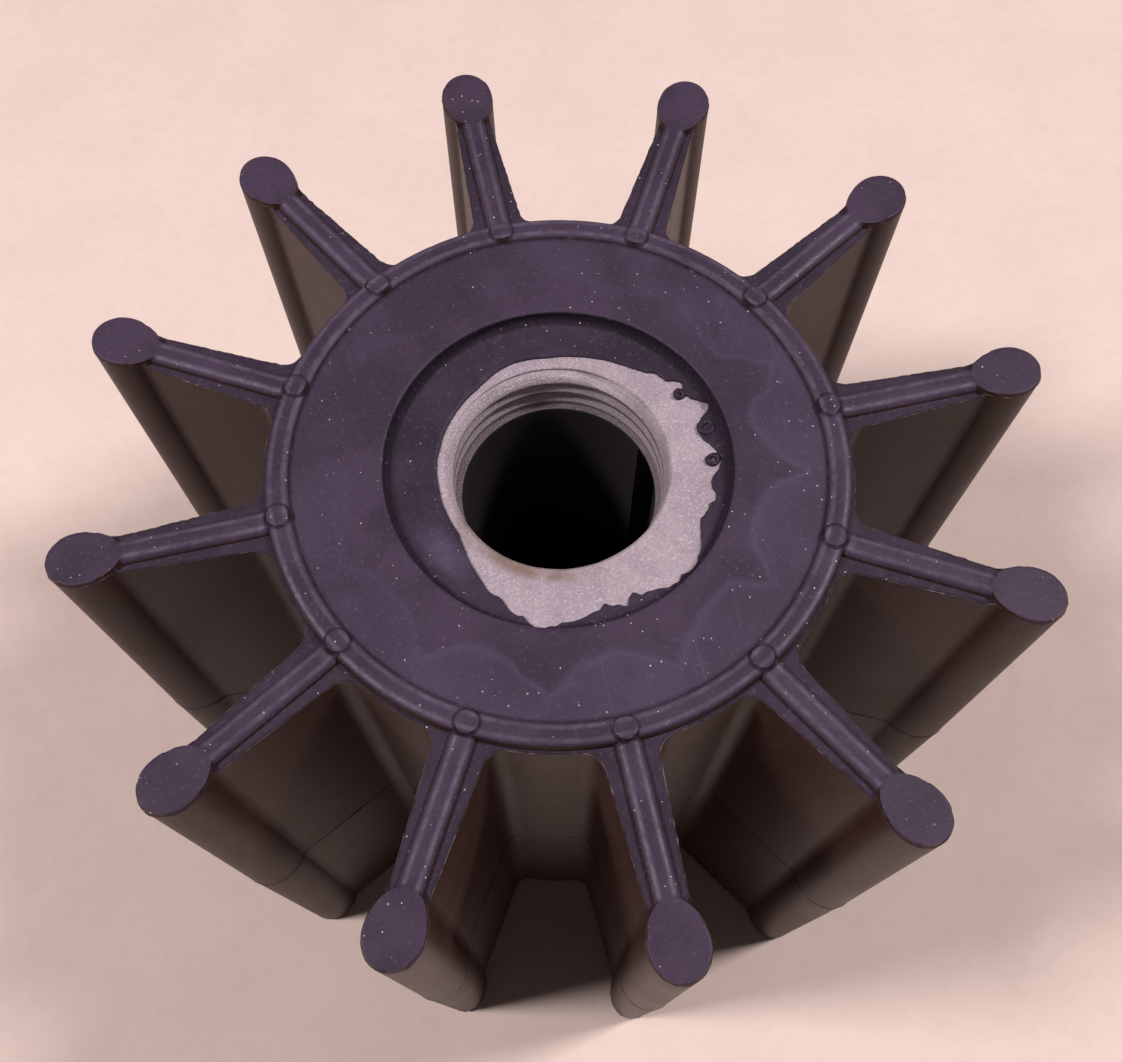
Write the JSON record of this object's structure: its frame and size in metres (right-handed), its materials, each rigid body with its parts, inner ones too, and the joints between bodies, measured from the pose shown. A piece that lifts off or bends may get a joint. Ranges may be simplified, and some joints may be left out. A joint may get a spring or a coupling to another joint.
{
  "type": "rubber pump impeller",
  "caption": "Flexible rubber impeller with straight radial vanes ending in rounded beads, moulded on a keyed metal hub sleeve that has a puller thread.",
  "frame": {"origin": "on the bore axis, in the plane that the lower end's nubs stand on", "axes": "+Z along the bore axis towards the threaded end, +X along one vane"},
  "size_m": [0.096, 0.096, 0.0808],
  "materials": {
    "rubber_body": "matte",
    "hub_insert": "matte"
  },
  "bodies": {
    "root": {"rubber_body": "rubber_body", "hub_insert": "hub_insert"}
  },
  "joints": []
}
